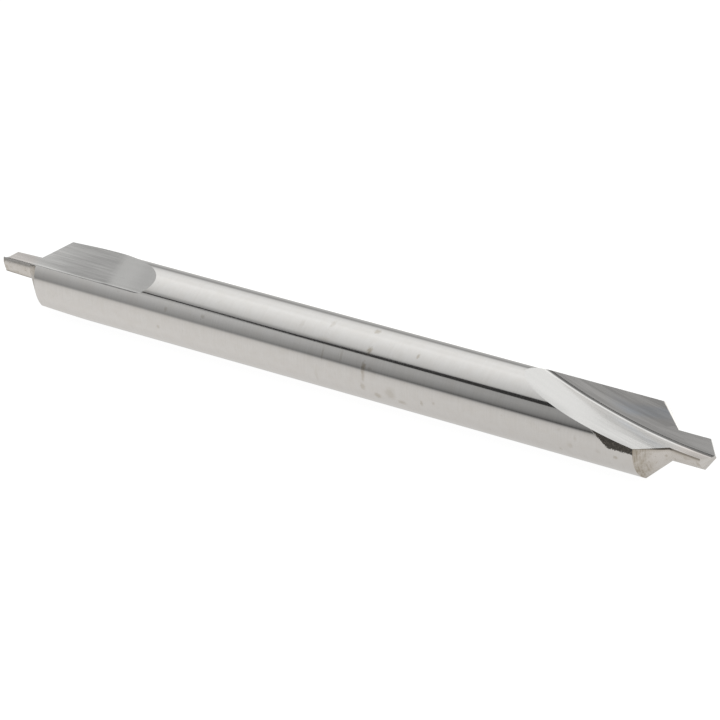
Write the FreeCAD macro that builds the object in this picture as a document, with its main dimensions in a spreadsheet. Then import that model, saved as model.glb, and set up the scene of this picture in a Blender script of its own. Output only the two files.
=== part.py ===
"""Centre drill: a combined drill and countersink, double ended, ground from one round carbide rod.

Each end has a short pilot drill with a pointed tip, a 90 degree countersink behind it and two straight
flutes. The two ends are the same: the far end is the near one, turned end for end.

Frame of the part, in millimetres: the origin is the middle of the drill, +X runs along its axis, and
+Z is up as the drill lies on its round body. Inside the body the near end, at +X, has its two cutting
edges at +Z and -Z, and the edge at +Z cuts towards -Y. The placement of the body rolls it as it lies.
"""
import FreeCAD, Part
import os
import Sketcher

SIZES = (
    ("body_diameter", 7.9375),
    ("overall_length", 88.9),
    ("pilot_diameter", 3.175),
    ("pilot_length", 3.7),
    ("countersink_angle", 90),
    ("point_angle", 118),
    ("web_thickness", 0.48),
    ("lip_clearance", 15.5),
    ("heel_clearance", 31),
    ("heel_facet_start", 0.3),
    ("relief_offset", 0.36),
    ("margin_width", 0.06),
    ("flute_angle", 118),
    ("rake_lean", 0.2),
    ("flute_root_radius", 0.45),
    ("flute_depth_past_centre", 0.32),
    ("wheel_radius", 76),
    ("wheel_centre_past_lip", 5.46),
    ("turn_between_ends", 87.4),
    ("lying_roll", 25.6),
)

# Lengths and angles that follow from the sizes, as more than one sketch uses them.
BODY_RADIUS = "(sizes.body_diameter / 2)"
PILOT_RADIUS = "(sizes.pilot_diameter / 2)"
HALF_WEB = "(sizes.web_thickness / 2)"
HALF_LENGTH = "(sizes.overall_length / 2)"
HALF_POINT = "(sizes.point_angle / 2)"
HALF_SINK = "(sizes.countersink_angle / 2)"
# How far a straight lip reaches out from the height of the axis.
LIP_REACH = f"sqrt({PILOT_RADIUS}^2 - {HALF_WEB}^2)"
# The line of a lip, carried on to the height of the axis, ends this far beyond the chisel edge.
PAST_CHISEL = f"({HALF_WEB} * tan(sizes.lip_clearance) / sin({HALF_POINT}))"
LIP_LINE_X = f"({HALF_LENGTH} + {PAST_CHISEL})"
LIP_CORNER_X = f"({LIP_LINE_X} - {LIP_REACH} / tan({HALF_POINT}))"
NECK_X = f"({LIP_CORNER_X} - sizes.pilot_length)"
BODY_END_X = f"({NECK_X} - ({BODY_RADIUS} - {PILOT_RADIUS}) / tan({HALF_SINK}))"
# The line through the outer corners of the two lips leans this far from the lips themselves.
CORNER_LEAN = f"asin({HALF_WEB} / {PILOT_RADIUS})"
# The relieved lands meet the full round of the pilot a margin's width behind the corners of the lips.
MARGIN_TERM = "2 * sizes.relief_offset * sizes.margin_width"
RELIEF_RADIUS = f"sqrt({PILOT_RADIUS}^2 + sizes.relief_offset^2 + {MARGIN_TERM})"
# Reach of the cutting profiles, past the metal.
PAST_BODY = "(sizes.body_diameter * 0.75)"
PAST_PILOT = "(sizes.pilot_diameter * 0.75)"


def make_sheet(doc):
    """Keeps every size as a plain number with a name."""
    sheet = doc.addObject("Spreadsheet::Sheet", "sizes")
    for row, (name, value) in enumerate(SIZES, start=1):
        sheet.set(f"A{row}", name)
        sheet.set(f"B{row}", str(value))
        sheet.setAlias(f"B{row}", name)
    doc.recompute()
    return sheet


def number_of(item, expression):
    """The value that an expression has now, as a plain number."""
    value = item.evalExpression(expression)
    return float(getattr(value, "Value", value))


def origin_feature(body, role):
    """A plane or an axis of the body's own origin."""
    for feature in body.Origin.OriginFeatures:
        if feature.Role == role:
            return feature
    raise ValueError(f"the body has no {role}")


def new_sketch(body, name, plane, base=None, turn=None, turn_axis=(0, 0, 1)):
    """A sketch on a plane of the body, moved by base and turned by an angle about turn_axis.

    base maps x, y or z of the plane to an expression, and turn is an expression in degrees.
    """
    sketch = body.newObject("Sketcher::SketchObject", name)
    sketch.AttachmentSupport = (origin_feature(body, plane), [""])
    sketch.MapMode = "FlatFace"
    if turn:
        rotation = FreeCAD.Rotation(FreeCAD.Vector(*turn_axis), number_of(sketch, turn))
        sketch.AttachmentOffset = FreeCAD.Placement(FreeCAD.Vector(), rotation)
        sketch.setExpression(".AttachmentOffset.Rotation.Angle", turn)
    for letter, expression in (base or {}).items():
        sketch.setExpression(f".AttachmentOffset.Base.{letter}", expression)
    return sketch


def hold(sketch, kind, point, expression):
    """Holds one coordinate of a point, given as its curve and end, at the value of an expression."""
    origin = (-1, 1)
    value = number_of(sketch, expression)
    if expression == "0":
        level_axis = -1
        sketch.addConstraint(Sketcher.Constraint("PointOnObject", *point, level_axis))
        return
    if value < 0:
        constraint = Sketcher.Constraint(kind, *point, *origin, -value)
        expression = f"-({expression})"
    else:
        constraint = Sketcher.Constraint(kind, *origin, *point, value)
    index = sketch.addConstraint(constraint)
    sketch.setExpression(f"Constraints[{index}]", expression)


def hold_point(sketch, point, corner):
    hold(sketch, "DistanceX", point, corner[0])
    hold(sketch, "DistanceY", point, corner[1])


def vector_of(sketch, corner):
    return FreeCAD.Vector(number_of(sketch, corner[0]), number_of(sketch, corner[1]), 0)


def polygon(sketch, corners):
    """A closed outline whose corners are pairs of expressions."""
    points = [vector_of(sketch, corner) for corner in corners]
    count = len(points)
    for index in range(count):
        sketch.addGeometry(Part.LineSegment(points[index], points[(index + 1) % count]), False)
    for index in range(count):
        sketch.addConstraint(Sketcher.Constraint("Coincident", index, 2, (index + 1) % count, 1))
    for index, corner in enumerate(corners):
        hold_point(sketch, (index, 1), corner)


def turned_blank(body):
    """The round rod with a cone and a pilot turned on each end.

    Its sketch is rolled so that the drill turns end for end about the upright axis of the sketch.
    """
    roll = "90 + sizes.turn_between_ends / 2"
    sketch = new_sketch(body, "blank_profile", "XY_Plane", None, roll, (1, 0, 0))
    steps = [
        (HALF_LENGTH, "0"),
        (HALF_LENGTH, PILOT_RADIUS),
        (NECK_X, PILOT_RADIUS),
        (BODY_END_X, BODY_RADIUS),
    ]
    corners = []
    for along, radius in steps:
        corners.append((f"-{along}", radius))
    for along, radius in reversed(steps):
        corners.append((along, radius))
    polygon(sketch, corners)
    blank = body.newObject("PartDesign::Revolution", "blank")
    blank.Profile = sketch
    blank.ReferenceAxis = (sketch, ["H_Axis"])
    blank.Angle = 360
    return sketch


def edge_relief(body):
    """The cone and the pilot ground off centre behind one cutting edge, so that the edge stands proud."""
    shift = {
        "y": f"-sizes.relief_offset * cos({CORNER_LEAN})",
        "z": f"-sizes.relief_offset * sin({CORNER_LEAN})",
    }
    sketch = new_sketch(body, "relief_profile", "XY_Plane", shift, CORNER_LEAN, (1, 0, 0))
    far = f"({HALF_LENGTH} + {PAST_PILOT})"
    cone_top = f"({NECK_X} - ({PAST_BODY} - {RELIEF_RADIUS}) / tan({HALF_SINK}))"
    polygon(sketch, [
        (NECK_X, RELIEF_RADIUS),
        (far, RELIEF_RADIUS),
        (far, PAST_BODY),
        (cone_top, PAST_BODY),
    ])
    relief = body.newObject("PartDesign::Groove", "edge_relief")
    relief.Profile = sketch
    relief.ReferenceAxis = (sketch, ["H_Axis"])
    relief.Midplane = True
    relief.Angle = 180
    return relief


def point_flank(body):
    """Half of the drill's point: a flat behind one lip, then a steeper one down to the heel.

    The sketch stands square to the lip, and its origin is where the lip's line is level with the axis.
    """
    sketch = new_sketch(body, "flank_profile", "YZ_Plane", {"z": LIP_LINE_X}, HALF_POINT, (1, 0, 0))
    before = f"(({PAST_PILOT} - {HALF_WEB}) * tan(sizes.lip_clearance))"
    drop = f"(({HALF_WEB} + sizes.heel_facet_start) * tan(sizes.lip_clearance))"
    last_drop = f"({drop} + ({PAST_PILOT} - sizes.heel_facet_start) * tan(sizes.heel_clearance))"
    polygon(sketch, [
        (f"-{PAST_PILOT}", before),
        ("sizes.heel_facet_start", f"-{drop}"),
        (PAST_PILOT, f"-{last_drop}"),
        (PAST_PILOT, "sizes.pilot_diameter"),
        (f"-{PAST_PILOT}", "sizes.pilot_diameter"),
    ])
    flank = body.newObject("PartDesign::Pocket", "point_flank")
    flank.Profile = sketch
    flank.Type = "Length"
    flank.SideType = "Symmetric"
    flank.setExpression("Length", "sizes.pilot_diameter * 2")
    return flank


def flute(body):
    """One flute as the rim of a wheel grinds it: a flat rake face and a wall, joined by a rounded root.

    The origin of the sketch is the centre of the wheel, and its level axis is the axis of the wheel.
    """
    centre = {
        "y": "sizes.wheel_radius - sizes.flute_depth_past_centre",
        "z": f"{LIP_CORNER_X} + sizes.wheel_centre_past_lip",
    }
    sketch = new_sketch(body, "wheel_profile", "YZ_Plane", centre)
    lean = "(sizes.flute_angle - 90 + sizes.rake_lean)"
    tangent = "(sizes.flute_root_radius / tan(sizes.flute_angle / 2))"
    top = f"({PAST_BODY} - sizes.wheel_radius)"
    rake_top = (f"-({HALF_WEB} + {PAST_BODY} * tan(sizes.rake_lean))", top)
    rake_foot = (
        f"-({HALF_WEB} + {tangent} * sin(sizes.rake_lean))",
        f"{tangent} * cos(sizes.rake_lean) - sizes.wheel_radius",
    )
    wall_foot = (
        f"-({HALF_WEB} + {tangent} * cos({lean}))",
        f"-(sizes.wheel_radius + {tangent} * sin({lean}))",
    )
    wall_end = (f"-{PAST_BODY}", f"-(sizes.wheel_radius + ({PAST_BODY} - {HALF_WEB}) * tan({lean}))")
    wall_top = (f"-{PAST_BODY}", top)
    root_middle = (
        f"{rake_foot[0]} - sizes.flute_root_radius * cos(sizes.rake_lean)",
        f"{rake_foot[1]} - sizes.flute_root_radius * sin(sizes.rake_lean)",
    )
    points = [vector_of(sketch, corner) for corner in (rake_top, rake_foot, wall_foot, wall_end, wall_top)]
    radius = number_of(sketch, "sizes.flute_root_radius")
    circle = Part.Circle(vector_of(sketch, root_middle), FreeCAD.Vector(0, 0, 1), radius)
    sketch.addGeometry(Part.LineSegment(points[0], points[1]), False)
    ends = [circle.parameter(point) for point in (points[2], points[1])]
    sketch.addGeometry(Part.ArcOfCircle(circle, *ends), False)
    sketch.addGeometry(Part.LineSegment(points[2], points[3]), False)
    sketch.addGeometry(Part.LineSegment(points[3], points[4]), False)
    sketch.addGeometry(Part.LineSegment(points[4], points[0]), False)
    sketch.addConstraint(Sketcher.Constraint("Tangent", 0, 2, 1, 2))
    sketch.addConstraint(Sketcher.Constraint("Tangent", 1, 1, 2, 1))
    sketch.addConstraint(Sketcher.Constraint("Coincident", 2, 2, 3, 1))
    sketch.addConstraint(Sketcher.Constraint("Coincident", 3, 2, 4, 1))
    sketch.addConstraint(Sketcher.Constraint("Coincident", 4, 2, 0, 1))
    hold_point(sketch, (0, 1), rake_top)
    hold_point(sketch, (0, 2), rake_foot)
    hold_point(sketch, (3, 1), wall_end)
    hold_point(sketch, (4, 1), wall_top)
    index = sketch.addConstraint(Sketcher.Constraint("Radius", 1, radius))
    sketch.setExpression(f"Constraints[{index}]", "sizes.flute_root_radius")
    groove = body.newObject("PartDesign::Groove", "flute")
    groove.Profile = sketch
    groove.ReferenceAxis = (sketch, ["H_Axis"])
    groove.Midplane = True
    groove.Angle = 90
    return groove


def all_four(body, blank_sketch, cuts):
    """Repeats the cuts behind the second cutting edge, and then at the far end of the drill."""
    second_edge = body.newObject("PartDesign::PolarPattern", "second_edge")
    second_edge.Axis = (origin_feature(body, "X_Axis"), [""])
    second_edge.Angle = 360
    second_edge.Occurrences = 2
    far_end = body.newObject("PartDesign::PolarPattern", "far_end")
    far_end.Axis = (blank_sketch, ["V_Axis"])
    far_end.Angle = 360
    far_end.Occurrences = 2
    pattern = body.newObject("PartDesign::MultiTransform", "all_cuts")
    pattern.Originals = cuts
    pattern.Transformations = [second_edge, far_end]
    body.Tip = pattern
    return pattern


def check_objects(doc):
    """Stops when any object of the model is in a bad state."""
    for item in doc.Objects:
        if {"Invalid", "Error"} & set(item.State):
            raise RuntimeError(f"{item.Name} is {item.State}")


def check_cut(body, before, name):
    """Stops when a cut took nothing away, and gives the volume that is left."""
    after = body.Shape.Volume
    if not after < before:
        raise RuntimeError(f"{name} cut nothing")
    return after


def main():
    doc = FreeCAD.newDocument("centre_drill")
    make_sheet(doc)
    body = doc.addObject("PartDesign::Body", "centre_drill")
    body.Label = "centre_drill"
    blank_sketch = turned_blank(body)
    doc.recompute()
    volume = body.Shape.Volume
    cuts = []
    for make_cut in (edge_relief, point_flank, flute):
        cuts.append(make_cut(body))
        doc.recompute()
        volume = check_cut(body, volume, make_cut.__name__)
    all_four(body, blank_sketch, cuts)
    roll = FreeCAD.Rotation(FreeCAD.Vector(-1, 0, 0), number_of(body, "sizes.lying_roll"))
    body.Placement = FreeCAD.Placement(FreeCAD.Vector(), roll)
    body.setExpression(".Placement.Rotation.Angle", "sizes.lying_roll")
    doc.recompute()
    check_cut(body, volume, "all_cuts")
    check_objects(doc)
    shape = body.Shape
    if shape.isNull() or not shape.isValid() or len(shape.Solids) != 1:
        raise RuntimeError("the drill is not one valid solid")
    os.makedirs("parts", exist_ok=True)
    shape.exportStep(os.path.join("parts", f"{body.Label}.step"))


main()
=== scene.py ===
"""A double-ended centre drill, ground from carbide, as it lies on a pale floor under soft studio light."""

import math

import bmesh
import bpy
from mathutils import Matrix, Vector


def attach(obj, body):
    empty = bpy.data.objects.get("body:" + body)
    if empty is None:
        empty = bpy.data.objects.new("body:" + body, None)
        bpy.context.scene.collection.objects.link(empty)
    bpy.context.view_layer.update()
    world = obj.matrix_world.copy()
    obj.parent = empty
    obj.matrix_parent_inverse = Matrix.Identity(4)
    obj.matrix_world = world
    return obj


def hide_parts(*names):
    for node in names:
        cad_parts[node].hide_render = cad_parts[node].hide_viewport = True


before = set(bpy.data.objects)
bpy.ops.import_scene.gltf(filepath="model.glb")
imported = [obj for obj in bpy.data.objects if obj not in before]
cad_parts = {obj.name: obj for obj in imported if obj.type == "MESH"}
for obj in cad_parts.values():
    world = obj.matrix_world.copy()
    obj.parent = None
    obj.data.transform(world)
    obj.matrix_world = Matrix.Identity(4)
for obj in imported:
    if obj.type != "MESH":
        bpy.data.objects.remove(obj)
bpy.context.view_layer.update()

# Sizes of the drill in millimetres and degrees, as its solid has them.
BODY_R = 3.96875
HALF_LENGTH = 44.45
PILOT_R = 1.5875
PILOT_LENGTH = 3.7
HALF_SINK = math.radians(45)
HALF_POINT = math.radians(59)
HALF_WEB = 0.24
LIP_CLEARANCE = math.radians(15.5)
HEEL_CLEARANCE = math.radians(31)
HEEL_FACET_START = 0.3
RELIEF = 0.36
MARGIN = 0.06
FLUTE_ANGLE = math.radians(118)
RAKE_LEAN = math.radians(0.2)
ROOT_R = 0.45
DEPTH_PAST_CENTRE = 0.32
WHEEL_R = 76.0
WHEEL_PAST_LIP = 5.46
TURN_BETWEEN_ENDS = math.radians(87.4)
LYING_ROLL = math.radians(-25.6)

LIP_REACH = math.sqrt(PILOT_R**2 - HALF_WEB**2)
LIP_LINE_X = HALF_LENGTH + HALF_WEB * math.tan(LIP_CLEARANCE) / math.sin(HALF_POINT)
LIP_CORNER_X = LIP_LINE_X - LIP_REACH / math.tan(HALF_POINT)
NECK_X = LIP_CORNER_X - PILOT_LENGTH
BODY_END_X = NECK_X - (BODY_R - PILOT_R) / math.tan(HALF_SINK)
CORNER_LEAN = math.asin(HALF_WEB / PILOT_R)
RELIEF_R = math.sqrt(PILOT_R**2 + RELIEF**2 + 2 * RELIEF * MARGIN)
WALL_LEAN = FLUTE_ANGLE - math.pi / 2 + RAKE_LEAN
ROOT_TANGENT = ROOT_R / math.tan(FLUTE_ANGLE / 2)
# The middle of the root's curve: its place across the flute, and how far it lies from the wheel's centre.
ROOT_Y = -(HALF_WEB + ROOT_TANGENT * math.sin(RAKE_LEAN)) - ROOT_R * math.cos(RAKE_LEAN)
ROOT_REACH = WHEEL_R - ROOT_TANGENT * math.cos(RAKE_LEAN) + ROOT_R * math.sin(RAKE_LEAN)
WHEEL_X = LIP_CORNER_X + WHEEL_PAST_LIP
WHEEL_Z = WHEEL_R - DEPTH_PAST_CENTRE

# How far the cutters reach: from the axis to outside the body, and past the pilot.
PAST_BODY = 6.0
PAST_PILOT = 2.4
# A millimetre in the scene's metres, how much too long the blank is at each tip, and how near corners join.
MM = 0.001
SPARE_LENGTH = 0.3
WELD_DISTANCE = 1e-5

# How finely the round cuts are divided, and the part of a turn that the wheel's rim sweeps.
BLANK_STEPS = 240
RELIEF_STEPS = 160
WHEEL_STEPS = 180
ROOT_STEPS = 8
SWEEP_START = math.radians(-9)
SWEEP = math.radians(45)

# The four places of each cut: behind both cutting edges, and the same with the drill turned end for end.
HALF_TURN = Matrix.Rotation(math.pi, 4, "X")
END_AXIS = Vector((0, -math.sin(TURN_BETWEEN_ENDS / 2), math.cos(TURN_BETWEEN_ENDS / 2)))
END_FOR_END = Matrix.Rotation(math.pi, 4, END_AXIS)
PLACES = [Matrix.Identity(4), HALF_TURN, END_FOR_END, END_FOR_END @ HALF_TURN]

ROUND, LAND, POINT, RAKE, WALL = range(5)
# The root's curve counts as rake face up to this far from the plane of the rake face.
RAKE_IN_ROOT = 0.03


def new_material(name):
    material = bpy.data.materials.new(name)
    material.use_nodes = True
    material.node_tree.nodes.clear()
    return material, material.node_tree


def feed(tree, value, socket):
    """Links an output to a socket, or writes a plain value into it."""
    if isinstance(value, bpy.types.NodeSocket):
        tree.links.new(value, socket)
    else:
        socket.default_value = value


def calc(tree, operation, *values):
    """One step of arithmetic on values or outputs."""
    node = tree.nodes.new("ShaderNodeMath")
    node.operation = operation
    for value, socket in zip(values, node.inputs):
        feed(tree, value, socket)
    return node.outputs[0]


def times(tree, *values):
    """The product of values and outputs."""
    product = values[0]
    for value in values[1:]:
        product = calc(tree, "MULTIPLY", product, value)
    return product


def vector_calc(tree, operation, *values):
    node = tree.nodes.new("ShaderNodeVectorMath")
    node.operation = operation
    for value, socket in zip(values, node.inputs):
        feed(tree, value, socket)
    return node.outputs["Value"] if operation == "LENGTH" else node.outputs["Vector"]


def split(tree, vector):
    node = tree.nodes.new("ShaderNodeSeparateXYZ")
    feed(tree, vector, node.inputs[0])
    return node.outputs


def join(tree, x, y, z):
    node = tree.nodes.new("ShaderNodeCombineXYZ")
    for value, socket in zip((x, y, z), node.inputs):
        feed(tree, value, socket)
    return node.outputs[0]


def ease(tree, value, start, stop, low=0.0, high=1.0, smooth=True):
    """Runs from low to high while the value runs from start to stop."""
    node = tree.nodes.new("ShaderNodeMapRange")
    node.interpolation_type = "SMOOTHSTEP" if smooth else "LINEAR"
    limits = (("From Min", start), ("From Max", stop), ("To Min", low), ("To Max", high))
    for name, item in (("Value", value), *limits):
        feed(tree, item, node.inputs[name])
    return node.outputs[0]


def between(tree, share, low, high):
    """Runs evenly from low to high while the share runs from 0 to 1."""
    return ease(tree, share, 0, 1, low, high, smooth=False)


def noise(tree, vector, scale, detail=2.0, rough=0.5):
    node = tree.nodes.new("ShaderNodeTexNoise")
    for name, item in (("Vector", vector), ("Scale", scale), ("Detail", detail), ("Roughness", rough)):
        feed(tree, item, node.inputs[name])
    return node.outputs["Fac"]


def mix_colour(tree, share, first, second):
    node = tree.nodes.new("ShaderNodeMix")
    node.data_type = "RGBA"
    feed(tree, share, node.inputs["Factor"])
    for value, name in ((first, "A"), (second, "B")):
        socket = [item for item in node.inputs if item.name == name and item.type == "RGBA"][0]
        feed(tree, value if isinstance(value, bpy.types.NodeSocket) else (*value, 1), socket)
    return [item for item in node.outputs if item.type == "RGBA"][0]


def shade(tree, colour, amount):
    """A colour made lighter or darker by an amount that changes over the surface."""
    node = tree.nodes.new("ShaderNodeVectorMath")
    node.operation = "SCALE"
    feed(tree, colour, node.inputs[0])
    feed(tree, amount, node.inputs["Scale"])
    return node.outputs[0]


def new_group(name, inputs, outputs):
    """An empty node group: inputs map a name to its kind and value, and outputs map a name to its kind."""
    group = bpy.data.node_groups.new(name, "ShaderNodeTree")
    for socket_name, (kind, value) in inputs.items():
        socket_type = f"NodeSocket{kind}"
        socket = group.interface.new_socket(socket_name, in_out="INPUT", socket_type=socket_type)
        if value is not None:
            socket.default_value = value
    for socket_name, kind in outputs.items():
        group.interface.new_socket(socket_name, in_out="OUTPUT", socket_type=f"NodeSocket{kind}")
    return group, group.nodes.new("NodeGroupInput").outputs, group.nodes.new("NodeGroupOutput").inputs


def place_group(tree, group, **values):
    """Puts a node group into a material with its own values, and gives its outputs."""
    node = tree.nodes.new("ShaderNodeGroup")
    node.node_tree = group
    for name, value in values.items():
        feed(tree, value, node.inputs[name.replace("_", " ").title()])
    return node.outputs


def wheel_track_group():
    """Where a point lies under the grinding wheel that cut the first flute, in millimetres.

    Reach is how far it lies outside the wheel's full radius. Along is how far it lies past the wheel's
    centre, towards the tip. Off Wall is how far it lies behind the wall, in the metal.
    """
    group, source, sink = new_group(
        "wheel track",
        {"Place": ("Vector", None)},
        {"Reach": "Float", "Along": "Float", "Off Wall": "Float"},
    )
    x, y, z = split(group, source["Place"])
    level = calc(group, "SUBTRACT", x, WHEEL_X)
    upright = calc(group, "SUBTRACT", z, WHEEL_Z)
    spoke = vector_calc(group, "LENGTH", join(group, level, 0.0, upright))
    reach = calc(group, "SUBTRACT", spoke, WHEEL_R)
    past_web = calc(group, "ADD", y, HALF_WEB)
    upward = times(group, reach, math.cos(WALL_LEAN))
    sideways = times(group, past_web, math.sin(WALL_LEAN))
    off_wall = calc(group, "ADD", upward, sideways)
    feed(group, reach, sink["Reach"])
    feed(group, level, sink["Along"])
    feed(group, off_wall, sink["Off Wall"])
    return group


def streaks_group():
    """Broad and fine grinding lines: Across counts over the lines, and Along runs with them."""
    group, source, sink = new_group(
        "grinding streaks",
        {"Across": ("Float", 0.0), "Along": ("Float", 0.0), "Spacing": ("Float", 1.0)},
        {"Broad": "Float", "Fine": "Float"},
    )
    across = calc(group, "DIVIDE", source["Across"], source["Spacing"])
    drift = times(group, source["Along"], 0.12)
    broad = noise(group, join(group, across, drift, 3.1), 1.0, 2.0, 0.6)
    fine = noise(group, join(group, times(group, across, 5.0), drift, 7.7), 1.0, 3.0, 0.65)
    feed(group, ease(group, broad, 0.35, 0.65), sink["Broad"])
    feed(group, ease(group, fine, 0.3, 0.7), sink["Fine"])
    return group


def rings_group():
    """Fine grinding lines that run round the axis, and a soft mottle."""
    group, source, sink = new_group(
        "grinding rings",
        {"Place": ("Vector", None), "Fineness": ("Float", 12.0)},
        {"Rings": "Float", "Mottle": "Float"},
    )
    x, y, z = split(group, source["Place"])
    along = times(group, x, source["Fineness"])
    stretched = join(group, along, times(group, y, 0.35), times(group, z, 0.35))
    feed(group, ease(group, noise(group, stretched, 1.0, 3.0, 0.6), 0.3, 0.7), sink["Rings"])
    feed(group, ease(group, noise(group, source["Place"], 0.9, 4.0, 0.6), 0.35, 0.7), sink["Mottle"])
    return group


def spot_group():
    """A ragged spot round Centre, as large as Spread."""
    group, source, sink = new_group(
        "ragged spot",
        {
            "Place": ("Vector", None),
            "Centre": ("Vector", None),
            "Spread": ("Vector", None),
            "Strength": ("Float", 1.0),
        },
        {"Spot": "Float"},
    )
    offset = vector_calc(group, "SUBTRACT", source["Place"], source["Centre"])
    distance = vector_calc(group, "LENGTH", vector_calc(group, "DIVIDE", offset, source["Spread"]))
    grain = noise(group, source["Place"], 4.5, 3.0, 0.6)
    ragged = ease(group, grain, 0.2, 0.8, -0.45, 0.45, smooth=False)
    spot = ease(group, calc(group, "ADD", distance, ragged), 1.25, 0.25)
    feed(group, times(group, spot, source["Strength"]), sink["Spot"])
    return group


def specks_group():
    """Scattered small specks. A larger Share leaves more of them."""
    group, source, sink = new_group(
        "specks",
        {"Place": ("Vector", None), "Scale": ("Float", 2.0), "Share": ("Float", 0.3)},
        {"Specks": "Float"},
    )
    grain = noise(group, source["Place"], source["Scale"])
    limit = calc(group, "SUBTRACT", 0.8, times(group, source["Share"], 0.3))
    feed(group, ease(group, grain, limit, calc(group, "ADD", limit, 0.06)), sink["Specks"])
    return group


WHEEL_TRACK = wheel_track_group()
STREAKS = streaks_group()
RINGS = rings_group()
SPOT = spot_group()
SPECKS = specks_group()

# The metal as each grind left it, and what lies on it.
POLISHED, POLISHED_MOTTLE = (0.605, 0.598, 0.588), (0.59, 0.579, 0.563)
RELIEVED, RELIEVED_MOTTLE = (0.635, 0.615, 0.59), (0.6, 0.575, 0.54)
POINT_PALE, POINT_DEEP = (0.66, 0.65, 0.635), (0.63, 0.615, 0.59)
RAKE_GREY, RAKE_BLUE = (0.615, 0.605, 0.595), (0.535, 0.558, 0.592)
WALL_GREY, WALL_WARM = (0.62, 0.617, 0.608), (0.622, 0.594, 0.573)
BROWN = (0.285, 0.24, 0.165)
# Near-black for the burr along the heel and the shadow painted beside it.
BURR_AND_SHADOW = (0.07, 0.06, 0.05)
SOOT, SOOT_FLECK = (0.085, 0.079, 0.071), (0.19, 0.175, 0.155)


def metal(name):
    """A metal with its shader, and the output that gives a point's place on the drill in millimetres."""
    material, tree = new_material(name)
    shader = tree.nodes.new("ShaderNodeBsdfPrincipled")
    out = tree.nodes.new("ShaderNodeOutputMaterial")
    tree.links.new(shader.outputs["BSDF"], out.inputs["Surface"])
    shader.inputs["Metallic"].default_value = 1.0
    attribute = tree.nodes.new("ShaderNodeAttribute")
    attribute.attribute_name = "place"
    return material, tree, shader, attribute.outputs["Vector"]


def place_in_scene(tree):
    """The X, Y and Z of a point on the drill as it lies, in metres."""
    return split(tree, tree.nodes.new("ShaderNodeTexCoord").outputs["Object"])


def bump(tree, shader, height, depth_mm):
    """Raises and sinks the surface by a height that changes over it."""
    node = tree.nodes.new("ShaderNodeBump")
    node.inputs["Strength"].default_value = 1.0
    node.inputs["Distance"].default_value = depth_mm * MM
    feed(tree, height, node.inputs["Height"])
    tree.links.new(node.outputs["Normal"], shader.inputs["Normal"])


# Stains on the round body, most in the places that they have in the photograph: place along it, angle up
# from the front, reach along and round it, all in millimetres and degrees, and strength.
STAINS = [
    (-0.2, 44.5, 0.3, 0.6, 0.2), (4.9, 54.3, 0.45, 0.4, 0.45), (5.35, 17.0, 0.35, 0.5, 0.55),
    (10.9, 28.9, 0.2, 0.36, 0.45), (5.15, -9.5, 0.28, 0.75, 0.6), (5.2, -22.0, 0.22, 0.8, 0.3),
    (5.1, -41.4, 0.35, 0.5, 0.3), (6.8, -52.1, 0.5, 0.45, 0.35), (8.5, -41.6, 0.7, 0.8, 0.26),
    (9.8, -51.9, 0.6, 0.35, 0.3), (12.3, -42.1, 0.22, 0.45, 0.3), (13.8, -35.6, 0.2, 0.25, 0.2),
    (2.3, -2.0, 0.16, 0.85, 0.18), (0.05, -5.5, 0.16, 0.9, 0.22), (-0.7, -45.5, 0.25, 0.9, 0.12),
    (-20.9, -37.0, 0.25, 0.28, 0.25), (-20.0, -5.0, 0.25, 0.3, 0.25), (-15.25, -0.5, 0.25, 0.25, 0.3),
    (30.6, -27.7, 0.22, 0.35, 0.16), (30.0, -42.1, 0.35, 0.4, 0.16), (28.7, -55.5, 0.22, 0.25, 0.18),
    (35.2, -40.8, 0.3, 0.25, 0.4), (33.2, -39.0, 0.35, 0.3, 0.15), (28.7, -20.6, 0.22, 0.25, 0.12),
    (-3.5, 31.5, 0.35, 0.5, 0.12), (-0.3, 16.0, 0.9, 0.3, 0.14), (5.95, -9.0, 0.22, 0.25, 0.25),
]


def stains_on_round(tree, place):
    """How stained the round body is."""
    spots = 0.0
    for along, angle, reach, spread, strength in STAINS:
        turn = math.radians(angle)
        centre = (along, -BODY_R * math.cos(turn), BODY_R * math.sin(turn))
        spot = place_group(
            tree, SPOT, place=place, centre=centre, spread=(reach, spread, spread), strength=strength,
        )["Spot"]
        spots = calc(tree, "MAXIMUM", spot, spots)
    specks = place_group(tree, SPECKS, place=place, scale=1.6, share=0.35)["Specks"]
    return calc(tree, "MAXIMUM", spots, times(tree, specks, 0.09))


# The dark strip of skin by a heel: its start along the drill, how far that start slants for a degree
# round it, and its lower and upper edge as angles up from the front.
SKIN_START = 31.5
SKIN_SLANT = 0.1
SKIN_BOTTOM, SKIN_TOP = math.radians(-28.6), math.radians(-5)


def skin_by_heel(tree, place):
    """Where the grinding left a ragged strip of dark skin on the round."""
    x, y, z = split(tree, place)
    angle = calc(tree, "ARCTAN2", z, times(tree, y, -1))
    ragged = times(tree, calc(tree, "SUBTRACT", noise(tree, place, 6.5, 4.0, 0.8), 0.5), 0.18)
    lower = calc(tree, "ADD", angle, ragged)
    above_bottom = ease(tree, lower, SKIN_BOTTOM, SKIN_BOTTOM + math.radians(1))
    slanted = calc(tree, "ADD", x, times(tree, lower, math.degrees(SKIN_SLANT)))
    past_start = ease(tree, slanted, SKIN_START, SKIN_START + 0.12)
    below_top = ease(tree, angle, SKIN_TOP + math.radians(2), SKIN_TOP)
    before_cone = ease(tree, x, BODY_END_X + 0.15, BODY_END_X + 0.05)
    return times(tree, above_bottom, past_start, below_top, before_cone)


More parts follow.
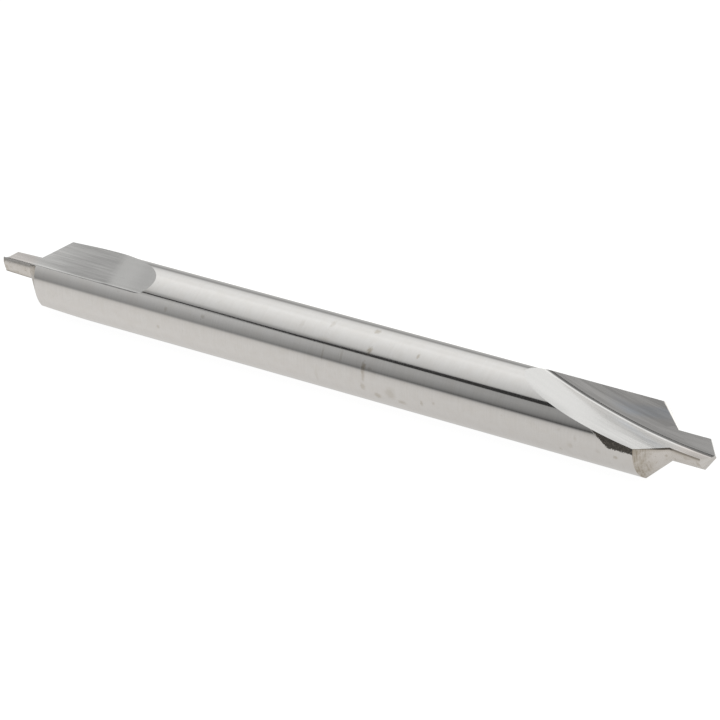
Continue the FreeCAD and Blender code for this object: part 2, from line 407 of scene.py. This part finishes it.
def ground_round():
    """The polished round of the rod, with small stains and one dark strip by a heel."""
    material, tree, shader, place = metal("ground round")
    rings = place_group(tree, RINGS, place=place, fineness=9.0)
    stain = stains_on_round(tree, place)
    colour = mix_colour(tree, rings["Mottle"], POLISHED, POLISHED_MOTTLE)
    colour = shade(tree, colour, between(tree, rings["Rings"], 0.975, 1.01))
    colour = mix_colour(tree, stain, colour, BROWN)
    skin = skin_by_heel(tree, place)
    flecks = ease(tree, noise(tree, place, 6.0, 3.0, 0.7), 0.48, 0.7)
    colour = mix_colour(tree, skin, colour, mix_colour(tree, flecks, SOOT, SOOT_FLECK))
    feed(tree, colour, shader.inputs["Base Color"])
    dull = calc(tree, "ADD", between(tree, rings["Rings"], 0.055, 0.085), times(tree, stain, 0.08))
    feed(tree, calc(tree, "ADD", dull, times(tree, skin, 0.45)), shader.inputs["Roughness"])
    crust = times(tree, skin, noise(tree, place, 9.0, 4.0, 0.7))
    bump(tree, shader, calc(tree, "ADD", crust, times(tree, rings["Rings"], 0.003)), 0.08)
    return material


def coolant_on_land(tree, place, rings, off_heel):
    """How brown a land is: at the cone's foot on the near side, in specks and by the heel."""
    x = split(tree, place)["X"]
    patches = ease(tree, noise(tree, place, 1.3, 3.0, 0.65), 0.36, 0.58, 0.35, 1.0, smooth=False)
    foot = times(
        tree,
        ease(tree, x, BODY_END_X + 1.5, BODY_END_X + 0.3),
        between(tree, rings["Rings"], 0.4, 1.0),
        patches,
        ease(tree, place_in_scene(tree)["Y"], 1.2 * MM, 0.0),
    )
    specks = place_group(tree, SPECKS, place=place, scale=1.9, share=0.75)["Specks"]
    stain = calc(tree, "MAXIMUM", times(tree, foot, 0.85), times(tree, specks, 0.3))
    return calc(tree, "MAXIMUM", stain, times(tree, ease(tree, off_heel, 0.55, 0.05), 0.45))


def burr_and_shadow_along_heel(tree, x, off_heel):
    """A fine dark line along the heel, a burr and its painted shadow, weaker at the cone's foot and on the
    pilot.
    """
    width = ease(tree, x, NECK_X - 1.7, NECK_X - 0.3, 0.1, 0.25)
    # Painted shadow: the heel's dark line is partly shade painted into the colour.
    burr_and_shade = ease(tree, off_heel, width, times(tree, width, 0.6))
    at_foot = ease(tree, x, BODY_END_X + 0.2, BODY_END_X + 1.3, 0.4, 0.95)
    on_pilot = ease(tree, x, NECK_X + 0.1, NECK_X + 0.5, 1.0, 0.45)
    return times(tree, burr_and_shade, at_foot, on_pilot)


def ground_land():
    """The relieved lands behind the cutting edges, brown with old coolant in places, with a burr and its
    painted shadow along the heel.
    """
    material, tree, shader, place = metal("ground land")
    x, y, z = split(tree, place)
    rings = place_group(tree, RINGS, place=place, fineness=7.0)
    half_turned = join(tree, x, times(tree, y, -1), times(tree, z, -1))
    off_heel = place_group(tree, WHEEL_TRACK, place=half_turned)["Off Wall"]
    stain = coolant_on_land(tree, place, rings, off_heel)
    colour = mix_colour(tree, rings["Mottle"], RELIEVED, RELIEVED_MOTTLE)
    colour = shade(tree, colour, ease(tree, x, NECK_X - 0.1, NECK_X + 0.4, 1.0, 0.93))
    colour = mix_colour(tree, stain, colour, BROWN)
    colour = mix_colour(tree, burr_and_shadow_along_heel(tree, x, off_heel), colour, BURR_AND_SHADOW)
    feed(tree, colour, shader.inputs["Base Color"])
    dull = calc(tree, "ADD", between(tree, rings["Rings"], 0.2, 0.27), times(tree, stain, 0.15))
    feed(tree, dull, shader.inputs["Roughness"])
    bump(tree, shader, rings["Rings"], 0.0015)
    return material


def ground_point():
    """The flats ground at the tip."""
    material, tree, shader, place = metal("ground point")
    x, y, z = split(tree, place)
    streaks = place_group(tree, STREAKS, across=calc(tree, "ADD", x, z), along=y, spacing=0.3)
    feed(tree, mix_colour(tree, streaks["Broad"], POINT_PALE, POINT_DEEP), shader.inputs["Base Color"])
    feed(tree, between(tree, streaks["Fine"], 0.22, 0.28), shader.inputs["Roughness"])
    bump(tree, shader, streaks["Fine"], 0.0004)
    return material


# The top of the rake face is darker, above a border that climbs towards the tip: its Reach and its climb.
RAKE_BORDER = -1.15
BORDER_CLIMB = 1.4


def blue_sheen(tree, track):
    """A band of blue sheen that starts by the border and drifts up the face towards the tip."""
    along, reach = track["Along"], track["Reach"]
    middle = ease(tree, along, -15.0, -10.0, RAKE_BORDER, RAKE_BORDER - BORDER_CLIMB, smooth=False)
    off_middle = calc(tree, "ABSOLUTE", calc(tree, "SUBTRACT", reach, middle))
    drift = join(tree, reach, times(tree, along, 0.1), 1.7)
    cloudy = ease(tree, noise(tree, drift, 1.4), 0.3, 0.5, 0.6, 1.0)
    return times(tree, cloudy, ease(tree, off_middle, 0.8, 0.2), ease(tree, along, -18.5, -14.5))


def ground_rake():
    """The rake face: grey with a faint blue sheen, darker along its top, and with painted shade along the
    root.
    """
    material, tree, shader, place = metal("ground rake face")
    track = place_group(tree, WHEEL_TRACK, place=place)
    streaks = place_group(tree, STREAKS, across=track["Reach"], along=track["Along"], spacing=0.55)
    along = track["Along"]
    border = ease(tree, along, -10.5, -7.5, RAKE_BORDER, RAKE_BORDER - BORDER_CLIMB, smooth=False)
    above_border = ease(tree, calc(tree, "SUBTRACT", track["Reach"], border), 0.05, -0.05)
    tone = times(
        tree,
        between(tree, streaks["Broad"], 0.86, 1.06),
        between(tree, streaks["Fine"], 0.96, 1.03),
        between(tree, above_border, 1.17, 1.0),
        # Painted shade: darker towards the root's fillet.
        ease(tree, track["Reach"], -0.22, -0.12, 1.0, 0.35),
    )
    colour = mix_colour(tree, blue_sheen(tree, track), RAKE_GREY, RAKE_BLUE)
    feed(tree, shade(tree, colour, tone), shader.inputs["Base Color"])
    feed(tree, between(tree, streaks["Fine"], 0.14, 0.2), shader.inputs["Roughness"])
    bump(tree, shader, streaks["Fine"], 0.0008)
    return material


def brushing(tree, track, streaks, right):
    """How brushed the wall is, from a ragged line at the left end, and fading in at the right."""
    ragged = between(tree, streaks["Fine"], -0.5, 0.5)
    clear = ease(tree, calc(tree, "ADD", track["Along"], ragged), -21.0, -19.2)
    faded = ease(tree, track["Along"], -20.0, -12.5)
    return between(tree, right, clear, faded)


def shade_by_root(tree, track, right):
    """Painted shade on the wall beside its root, from the run-out on towards the tip, with faint painted
    light in a middle stretch at the right end.
    """
    along = track["Along"]
    past_run_out = ease(tree, along, -21.0, between(tree, right, -19.2, -14.5))
    by_root = times(tree, ease(tree, track["Reach"], 1.7, 0.0), past_run_out)
    right_tone = ease(tree, along, -17.2, -15.2, 0.9, ease(tree, along, -7.8, -6.4, 1.02, 0.88))
    return between(tree, by_root, 1.0, between(tree, right, 0.84, right_tone))


def tone_by_edge(tree, track, place, brushed, right):
    """The wall is darker by its outer edge, and at the left end also where it dies out into the round."""
    y = split(tree, place)["Y"]
    along = track["Along"]
    left_edge = times(tree, ease(tree, y, -1.9, -2.8), ease(tree, brushed, 0, 1, 0.0, 0.11))
    right_edge = times(tree, ease(tree, y, -2.9, -3.7), ease(tree, along, -18.5, -21.0, 0.0, 0.12))
    by_edge = calc(tree, "SUBTRACT", 1.0, between(tree, right, left_edge, right_edge))
    return times(tree, by_edge, ease(tree, along, -22.0, -25.5, 1.0, between(tree, right, 0.85, 1.0)))


def shade_and_highlight_in_root(tree, track, right):
    """Painted shade in the root, with a painted highlight as a fine bright line beside it at the right end,
    and more painted shade in the run-out.
    """
    along, reach = track["Along"], track["Reach"]
    start = between(tree, right, -0.06, ease(tree, along, -17.0, -12.0, 0.03, 0.07))
    # Painted shade darkening the root.
    root_shade = ease(tree, reach, start, calc(tree, "SUBTRACT", start, 0.09), 1.0, 0.3)
    # Painted highlight: a fine bright line along the root at the right end.
    off_line = calc(tree, "ABSOLUTE", calc(tree, "SUBTRACT", reach, 0.12))
    line_strength = times(tree, right, ease(tree, along, -19.0, -15.0, 0.4, 1.0))
    line = between(tree, line_strength, 1.0, ease(tree, off_line, 0.07, 0.0, 1.0, 1.2))
    # Painted shade: the root darker again where the wheel ran out.
    in_run_out = times(tree, ease(tree, along, -18.2, -20.0), ease(tree, track["Off Wall"], 0.0, -0.03))
    run_out_shade = between(tree, in_run_out, 1.0, between(tree, right, 0.4, 0.75))
    return times(tree, root_shade, line, run_out_shade)


def ground_wall():
    """The wall of a flute, brushed along its length, smoother where the wheel ran out, with painted shade
    and highlight by its root.
    """
    material, tree, shader, place = metal("ground flute wall")
    track = place_group(tree, WHEEL_TRACK, place=place)
    streaks = place_group(tree, STREAKS, across=track["Reach"], along=track["Along"], spacing=0.24)
    right = ease(tree, place_in_scene(tree)["X"], -MM, MM)
    brushed = brushing(tree, track, streaks, right)
    broad_tone = between(tree, streaks["Broad"], 0.915, 1.05)
    lines = times(tree, broad_tone, between(tree, streaks["Fine"], 0.9, 1.06))
    before_run_out = times(tree, brushed, ease(tree, track["Along"], -10.0, -17.0))
    tone = times(
        tree,
        between(tree, between(tree, brushed, 0.12, 1.0), 1.0, lines),
        between(tree, before_run_out, 1.0, 0.94),
        shade_by_root(tree, track, right),
        tone_by_edge(tree, track, place, brushed, right),
        shade_and_highlight_in_root(tree, track, right),
    )
    colour = mix_colour(tree, ease(tree, track["Along"], -9.6, -7.5), WALL_GREY, WALL_WARM)
    feed(tree, shade(tree, colour, tone), shader.inputs["Base Color"])
    feed(tree, between(tree, streaks["Fine"], 0.16, 0.24), shader.inputs["Roughness"])
    bump(tree, shader, times(tree, streaks["Fine"], brushed), 0.001)
    return material


MATERIALS = [ground_round(), ground_land(), ground_point(), ground_rake(), ground_wall()]


def mesh_object(name, bm, place=None):
    """Turns a finished bmesh into an object that carries all the drill's materials."""
    if place is not None:
        bmesh.ops.transform(bm, matrix=place, verts=bm.verts)
    mesh = bpy.data.meshes.new(name)
    bm.to_mesh(mesh)
    bm.free()
    for material in MATERIALS:
        mesh.materials.append(material)
    piece = bpy.data.objects.new(name, mesh)
    bpy.context.collection.objects.link(piece)
    return piece


def loop_of(bm, corners):
    """A closed loop through the corners: its corners and its edges."""
    verts = [bm.verts.new(corner) for corner in corners]
    return verts, [bm.edges.new((verts[i], verts[(i + 1) % len(verts)])) for i in range(len(verts))]


def close_ends(bm):
    """Closes a spun or extruded shape and turns its faces outwards."""
    bmesh.ops.remove_doubles(bm, verts=bm.verts, dist=WELD_DISTANCE)
    bmesh.ops.holes_fill(bm, edges=[edge for edge in bm.edges if edge.is_boundary], sides=0)
    bmesh.ops.recalc_face_normals(bm, faces=bm.faces)


def turned_blank():
    """The round rod with a cone and a pilot on each end, a little too long at both tips."""
    bm = bmesh.new()
    steps = [(HALF_LENGTH + SPARE_LENGTH, PILOT_R), (NECK_X, PILOT_R), (BODY_END_X, BODY_R)]
    corners = [(-x, 0, r) for x, r in steps] + [(x, 0, r) for x, r in reversed(steps)]
    verts = [bm.verts.new(corner) for corner in corners]
    edges = [bm.edges.new(pair) for pair in zip(verts, verts[1:])]
    bmesh.ops.spin(
        bm, geom=verts + edges, cent=(0, 0, 0), axis=(1, 0, 0), dvec=(0, 0, 0),
        angle=math.tau, steps=BLANK_STEPS, use_merge=True, use_duplicate=False,
    )
    close_ends(bm)
    for face in bm.faces:
        face.material_index = ROUND
    return mesh_object("drill", bm)


def relief_cutter(place):
    """What the off-centre grind takes behind one cutting edge."""
    bm = bmesh.new()
    behind = Vector((0, math.cos(CORNER_LEAN), math.sin(CORNER_LEAN)))
    centre = -RELIEF * behind
    far = HALF_LENGTH + PAST_PILOT
    profile = [
        (NECK_X, RELIEF_R),
        (far, RELIEF_R),
        (far, PAST_BODY),
        (NECK_X - (PAST_BODY - RELIEF_R) / math.tan(HALF_SINK), PAST_BODY),
    ]
    corners = [Vector((x, 0, 0)) + centre + r * behind for x, r in profile]
    verts, edges = loop_of(bm, corners)
    bmesh.ops.rotate(bm, verts=verts, cent=centre, matrix=Matrix.Rotation(-math.pi / 2, 3, "X"))
    bmesh.ops.spin(
        bm, geom=verts + edges, cent=centre, axis=(1, 0, 0), dvec=(0, 0, 0),
        angle=math.pi, steps=RELIEF_STEPS, use_merge=False, use_duplicate=False,
    )
    close_ends(bm)
    for face in bm.faces:
        face.material_index = LAND
    return mesh_object("relief cutter", bm, place)


def flank_cutter(place):
    """What is ground off the tip behind one lip, in two flats."""
    bm = bmesh.new()
    out = Vector((math.sin(HALF_POINT), 0, math.cos(HALF_POINT)))
    along = Vector((math.cos(HALF_POINT), 0, -math.sin(HALF_POINT)))
    drop = (HALF_WEB + HEEL_FACET_START) * math.tan(LIP_CLEARANCE)
    last_drop = drop + (PAST_PILOT - HEEL_FACET_START) * math.tan(HEEL_CLEARANCE)
    profile = [
        (-PAST_PILOT, (PAST_PILOT - HALF_WEB) * math.tan(LIP_CLEARANCE)),
        (HEEL_FACET_START, -drop),
        (PAST_PILOT, -last_drop),
        (PAST_PILOT, 2 * PILOT_R),
        (-PAST_PILOT, 2 * PILOT_R),
    ]
    start = Vector((LIP_LINE_X, 0, 0)) - 2 * PILOT_R * along
    corners = [start + Vector((0, y, 0)) + n * out for y, n in profile]
    face = bm.faces.new(loop_of(bm, corners)[0])
    grown = bmesh.ops.extrude_face_region(bm, geom=[face])
    moved = [item for item in grown["geom"] if isinstance(item, bmesh.types.BMVert)]
    bmesh.ops.translate(bm, verts=moved, vec=4 * PILOT_R * along)
    close_ends(bm)
    for face in bm.faces:
        face.material_index = POINT
    return mesh_object("flank cutter", bm, place)


def flute_cutter(place):
    """The sweep of the grinding wheel's rim along one flute."""
    bm = bmesh.new()
    top = PAST_BODY - WHEEL_R
    profile = [(-(HALF_WEB + PAST_BODY * math.tan(RAKE_LEAN)), top)]
    for step in range(ROOT_STEPS + 1):
        angle = RAKE_LEAN - (math.pi - FLUTE_ANGLE) * step / ROOT_STEPS
        profile.append((ROOT_Y + ROOT_R * math.cos(angle), -ROOT_REACH + ROOT_R * math.sin(angle)))
    profile.append((-PAST_BODY, -(WHEEL_R + (PAST_BODY - HALF_WEB) * math.tan(WALL_LEAN))))
    profile.append((-PAST_BODY, top))
    corners = [Vector((WHEEL_X, across, WHEEL_Z + up)) for across, up in profile]
    verts, edges = loop_of(bm, corners)
    centre = Vector((WHEEL_X, 0, WHEEL_Z))
    bmesh.ops.rotate(bm, verts=verts, cent=centre, matrix=Matrix.Rotation(SWEEP_START, 3, "Y"))
    bmesh.ops.spin(
        bm, geom=verts + edges, cent=centre, axis=(0, 1, 0), dvec=(0, 0, 0),
        angle=SWEEP, steps=WHEEL_STEPS, use_merge=False, use_duplicate=False,
    )
    close_ends(bm)
    rake_limit = -(HALF_WEB + RAKE_IN_ROOT)
    for face in bm.faces:
        face.material_index = RAKE if face.calc_center_median().y > rake_limit else WALL
    return mesh_object("flute cutter", bm, place)


def cut(piece, cutter):
    """Takes the cutter's volume from the piece."""
    modifier = piece.modifiers.new("cut", "BOOLEAN")
    modifier.operation = "DIFFERENCE"
    modifier.solver = "EXACT"
    modifier.object = cutter
    modifier.material_mode = "INDEX"
    graph = bpy.context.evaluated_depsgraph_get()
    mesh = bpy.data.meshes.new_from_object(piece.evaluated_get(graph))
    piece.modifiers.clear()
    old = piece.data
    piece.data = mesh
    bpy.data.meshes.remove(old)
    spent = cutter.data
    bpy.data.objects.remove(cutter)
    bpy.data.meshes.remove(spent)


# A point this near to the edge of the cone doesn't count as part of it.
EDGE_WIDTH = 0.001
# A land lies only on its own side of the axis. A point farther than this on the other side is of another
# land, and counts as being this much farther off.
OTHER_SIDE = -0.5
OTHER_SIDE_GAP = 10
# How much both flats of the tip lean back behind the lip, near enough to tell one lip's from another's.
FLAT_LEAN = 0.4
# A corner's facing is worked out this share of the way in to the middle of its face, clear of the next one.
INWARD = 0.02
# The true facing is used where its cosine to the flat face's own facing is at least this.
SAME_FACING = 0.9


def round_normal(point):
    """Which way the turned blank faces at a point."""
    radial = Vector((0, point.y, point.z)).normalized()
    if BODY_END_X + EDGE_WIDTH < abs(point.x) < NECK_X - EDGE_WIDTH:
        return Vector((math.copysign(math.sin(HALF_SINK), point.x), *(radial.yz * math.cos(HALF_SINK))))
    return radial


def wall_normal(point):
    """Which way the flute faces at a point, in the place of the first flute."""
    spoke = Vector((point.x - WHEEL_X, 0, point.z - WHEEL_Z))
    reach = spoke.length
    spoke.normalize()
    wall_foot = -(HALF_WEB + ROOT_TANGENT * math.cos(WALL_LEAN))
    if point.y < wall_foot:
        return Vector((0, -math.sin(WALL_LEAN), 0)) - spoke * math.cos(WALL_LEAN)
    across = Vector((0, ROOT_Y - point.y, 0))
    return (across - spoke * (reach - ROOT_REACH)).normalized()


def land_facing(point):
    """How far a point is from the first relieved land, and which way that land faces there."""
    behind = Vector((0, math.cos(CORNER_LEAN), math.sin(CORNER_LEAN)))
    arm = Vector((0, point.y, point.z)) + RELIEF * behind
    radial = arm.normalized()
    expected, facing = RELIEF_R, radial
    if point.x < NECK_X:
        expected += (NECK_X - point.x) * math.tan(HALF_SINK)
        facing = Vector((math.sin(HALF_SINK), *(radial.yz * math.cos(HALF_SINK))))
    gap = abs(arm.length - expected)
    if arm.dot(behind) < OTHER_SIDE:
        gap += OTHER_SIDE_GAP
    return gap, facing


def home_of(kind, point, normal):
    """The place of the cut that made a face, from the middle of the face and its facing."""
    if kind == ROUND:
        return PLACES[0]
    flank = Vector((math.sin(HALF_POINT), FLAT_LEAN, math.cos(HALF_POINT)))
    best = None
    for place in PLACES:
        back = place.inverted()
        local, facing = back @ point, back.to_3x3() @ normal
        if local.x < 0:
            continue
        if kind == LAND:
            score = -land_facing(local)[0]
        elif kind == WALL:
            score = facing.dot(wall_normal(local))
        else:
            score = facing.dot(flank) if kind == POINT else -facing.y
        if best is None or score > best[0]:
            best = (score, place)
    return best[1]


def true_surface(piece):
    """Gives every face the facing of the true surface, and its place under the cut that made it."""
    mesh = piece.data
    normals = [Vector((0, 0, 1))] * len(mesh.loops)
    places = [0.0] * (3 * len(mesh.loops))
    for face in mesh.polygons:
        kind = face.material_index
        centre = face.center.copy()
        home = home_of(kind, centre, face.normal)
        back = home.inverted()
        for index in face.loop_indices:
            point = mesh.vertices[mesh.loops[index].vertex_index].co.copy()
            inward = back @ point.lerp(centre, INWARD)
            normal = face.normal.copy()
            if kind == ROUND:
                normal = round_normal(inward)
            elif kind == WALL:
                normal = home.to_3x3() @ wall_normal(inward)
            elif kind == LAND:
                normal = home.to_3x3() @ land_facing(inward)[1]
            if normal.dot(face.normal) < SAME_FACING:
                normal = face.normal.copy()
            normals[index] = normal
            places[3 * index:3 * index + 3] = back @ point
    mesh.shade_smooth()
    mesh.normals_split_custom_set(normals)
    mesh.attributes.new("place", "FLOAT_VECTOR", "CORNER").data.foreach_set("vector", places)


drill = turned_blank()
for place in PLACES:
    cut(drill, relief_cutter(place))
    cut(drill, flank_cutter(place))
    cut(drill, flute_cutter(place))
true_surface(drill)
drill.data.transform(Matrix.Scale(MM, 4) @ Matrix.Rotation(LYING_ROLL, 4, "X"))
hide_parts("centre_drill")
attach(drill, "root")


FLOOR_REACH = 4
FLOOR_GLOW = 0.955


def pale_floor_material():
    """A pale floor that glows enough to stay white, and still takes the drill's soft shadow."""
    material, tree = new_material("pale floor")
    matt = tree.nodes.new("ShaderNodeBsdfDiffuse")
    where = tree.nodes.new("ShaderNodeTexCoord").outputs["Object"]
    tone = ease(tree, noise(tree, where, 60.0), 0.3, 0.7, 0.095, 0.1, smooth=False)
    feed(tree, join(tree, tone, tone, tone), matt.inputs["Color"])
    glow = tree.nodes.new("ShaderNodeEmission")
    glow.inputs["Color"].default_value = (1, 1, 1, 1)
    glow.inputs["Strength"].default_value = FLOOR_GLOW
    both = tree.nodes.new("ShaderNodeAddShader")
    tree.links.new(matt.outputs["BSDF"], both.inputs[0])
    tree.links.new(glow.outputs[0], both.inputs[1])
    tree.links.new(both.outputs[0], tree.nodes.new("ShaderNodeOutputMaterial").inputs["Surface"])
    return material


def pale_floor():
    """The floor that the drill lies on, which its polish doesn't mirror."""
    bm = bmesh.new()
    bmesh.ops.create_grid(bm, x_segments=1, y_segments=1, size=FLOOR_REACH)
    bmesh.ops.translate(bm, verts=bm.verts, vec=(0, 0, -BODY_R * MM))
    mesh = bpy.data.meshes.new("floor")
    bm.to_mesh(mesh)
    bm.free()
    mesh.materials.append(pale_floor_material())
    piece = bpy.data.objects.new("floor", mesh)
    bpy.context.collection.objects.link(piece)
    piece.visible_glossy = False
    return piece


floor = pale_floor()

# The light round the drill, by the angle from the front, up over the top and down to the back: degrees,
# and brightness towards the drill's left and towards its right. The brightness was worked out from the
# greys that the round mirrors in the photograph, and then adjusted.
STUDIO = [
    (-180, 0.75, 0.68), (-176, 1.7, 1.7), (-165, 1.6, 1.6), (-152, 0.6, 0.62),
    (-118, 0.83, 0.76), (-70, 0.97, 0.84), (-30, 0.96, 0.87), (-16, 0.92, 0.83), (-10.5, 0.85, 0.75),
    (-7.5, 0.74, 0.68), (-3.5, 0.42, 0.29), (-1, 0.38, 0.06), (2, 0.42, 0.19), (8, 0.48, 0.3),
    (16, 0.55, 0.37), (25, 0.66, 0.43), (35, 0.75, 0.43), (49, 0.45, 0.44), (52, 0.57, 0.68),
    (57, 0.81, 0.78), (64, 0.92, 0.84), (84, 1.13, 1.04), (108, 1.3, 1.25), (118, 1.2, 1.2),
    (130, 1.17, 1.23), (139, 1.05, 1.12), (147, 0.89, 1.03), (151, 0.57, 0.87),
    (155, 0.44, 0.53), (159, 0.46, 0.4), (168, 0.63, 0.54), (178, 0.72, 0.64),
]
BRIGHTEST = 1.7
# Between these angles, from the back and under the drill up to the front, the light is a little warmer.
WARM_FROM, WARM_TO = -150, -5
WARM, NEUTRAL = (1.0, 0.975, 0.95), (1.0, 0.998, 0.99)
# The brightness goes from the left column to the right one between directions with these X parts.
LEFT, RIGHT = -0.545, -0.46


def studio_ramp(tree, share, column):
    """The brightness round the drill, from one column of the studio."""
    node = tree.nodes.new("ShaderNodeValToRGB")
    node.color_ramp.interpolation = "LINEAR"
    feed(tree, share, node.inputs["Fac"])
    elements = node.color_ramp.elements
    while len(elements) > 1:
        elements.remove(elements[0])
    for number, row in enumerate(STUDIO):
        position = (row[0] + 180) / 360
        stop = elements[0] if number == 0 else elements.new(position)
        stop.position = position
        level = row[column] / BRIGHTEST
        warmth = WARM if WARM_FROM < row[0] < WARM_TO else NEUTRAL
        stop.color = (*(level * part for part in warmth), 1)
    return node.outputs["Color"]


def dark_slit(tree, angle, x):
    """A dark slit between the front and the light above, wider to the right and lowest in between."""
    falling = ease(tree, x, -0.536, -0.522, math.radians(44.8), math.radians(42.3))
    rising = ease(tree, x, -0.522, -0.49, 0.0, math.radians(2.4))
    off_middle = calc(tree, "ABSOLUTE", calc(tree, "SUBTRACT", angle, calc(tree, "ADD", falling, rising)))
    half_width = ease(tree, x, LEFT, RIGHT, math.radians(1.7), math.radians(5.7), smooth=False)
    past_edge = calc(tree, "SUBTRACT", off_middle, half_width)
    return ease(tree, past_edge, math.radians(-0.4), math.radians(0.7), 0.1, 1.0)


def light_above(tree, angle, toward):
    """The light above ends to the far left, and is strongest straight above the right end."""
    above_front = ease(tree, angle, math.radians(124), math.radians(116))
    above = times(tree, ease(tree, toward["Z"], 0.0, 0.1), above_front)
    ending = between(tree, above, 1.0, ease(tree, toward["X"], -0.63, -0.78, 1.0, 0.53))
    overhead = times(tree, ease(tree, toward["Z"], 0.84, 0.94), ease(tree, toward["X"], -0.42, -0.34))
    return calc(tree, "ADD", ending, times(tree, overhead, 0.2))


def soft_studio():
    """The world that lights the drill and that its polish mirrors."""
    world = bpy.data.worlds.new("soft studio")
    bpy.context.scene.world = world
    world.use_nodes = True
    tree = world.node_tree
    tree.nodes.clear()
    toward = split(tree, tree.nodes.new("ShaderNodeTexCoord").outputs["Generated"])
    angle = calc(tree, "ARCTAN2", toward["Z"], times(tree, toward["Y"], -1))
    share = ease(tree, angle, -math.pi, math.pi, smooth=False)
    to_right = ease(tree, toward["X"], LEFT, RIGHT, smooth=False)
    glow = mix_colour(tree, to_right, studio_ramp(tree, share, 1), studio_ramp(tree, share, 2))
    glow = shade(tree, glow, dark_slit(tree, angle, toward["X"]))
    background = tree.nodes.new("ShaderNodeBackground")
    background.inputs["Strength"].default_value = BRIGHTEST
    feed(tree, shade(tree, glow, light_above(tree, angle, toward)), background.inputs["Color"])
    tree.links.new(background.outputs[0], tree.nodes.new("ShaderNodeOutputWorld").inputs["Surface"])


soft_studio()

KEY_SIZE = 2.4
KEY_WATTS = 14
KEY_HEIGHT = 1.2


def key_light():
    """A wide soft light straight above, which the polish doesn't mirror."""
    data = bpy.data.lights.new("key", "AREA")
    data.shape = "SQUARE"
    data.size = KEY_SIZE
    data.energy = KEY_WATTS
    light = bpy.data.objects.new("key", data)
    light.location = (0, 0, KEY_HEIGHT)
    light.visible_glossy = False
    bpy.context.collection.objects.link(light)


key_light()

# The camera's place, and the directions in which it looks and that its picture has to the right.
CAMERA_PLACE = Vector((0.220098, -0.328166, 0.181394))
CAMERA_AHEAD = Vector((-0.502256, 0.756540, -0.418790))
CAMERA_RIGHT = Vector((0.833118, 0.553095, 0))
SENSOR_WIDTH = 36
LENS = 208.68


def main_camera():
    data = bpy.data.cameras.new("camera")
    data.sensor_width = SENSOR_WIDTH
    data.lens = LENS
    data.clip_start = 0.01
    camera = bpy.data.objects.new("camera", data)
    ahead = CAMERA_AHEAD.normalized()
    right = CAMERA_RIGHT.normalized()
    turned = Matrix((right, right.cross(ahead), -ahead)).transposed().to_4x4()
    camera.matrix_world = Matrix.Translation(CAMERA_PLACE) @ turned
    bpy.context.collection.objects.link(camera)
    bpy.context.scene.camera = camera


main_camera()
bpy.context.scene.view_settings.view_transform = "Standard"
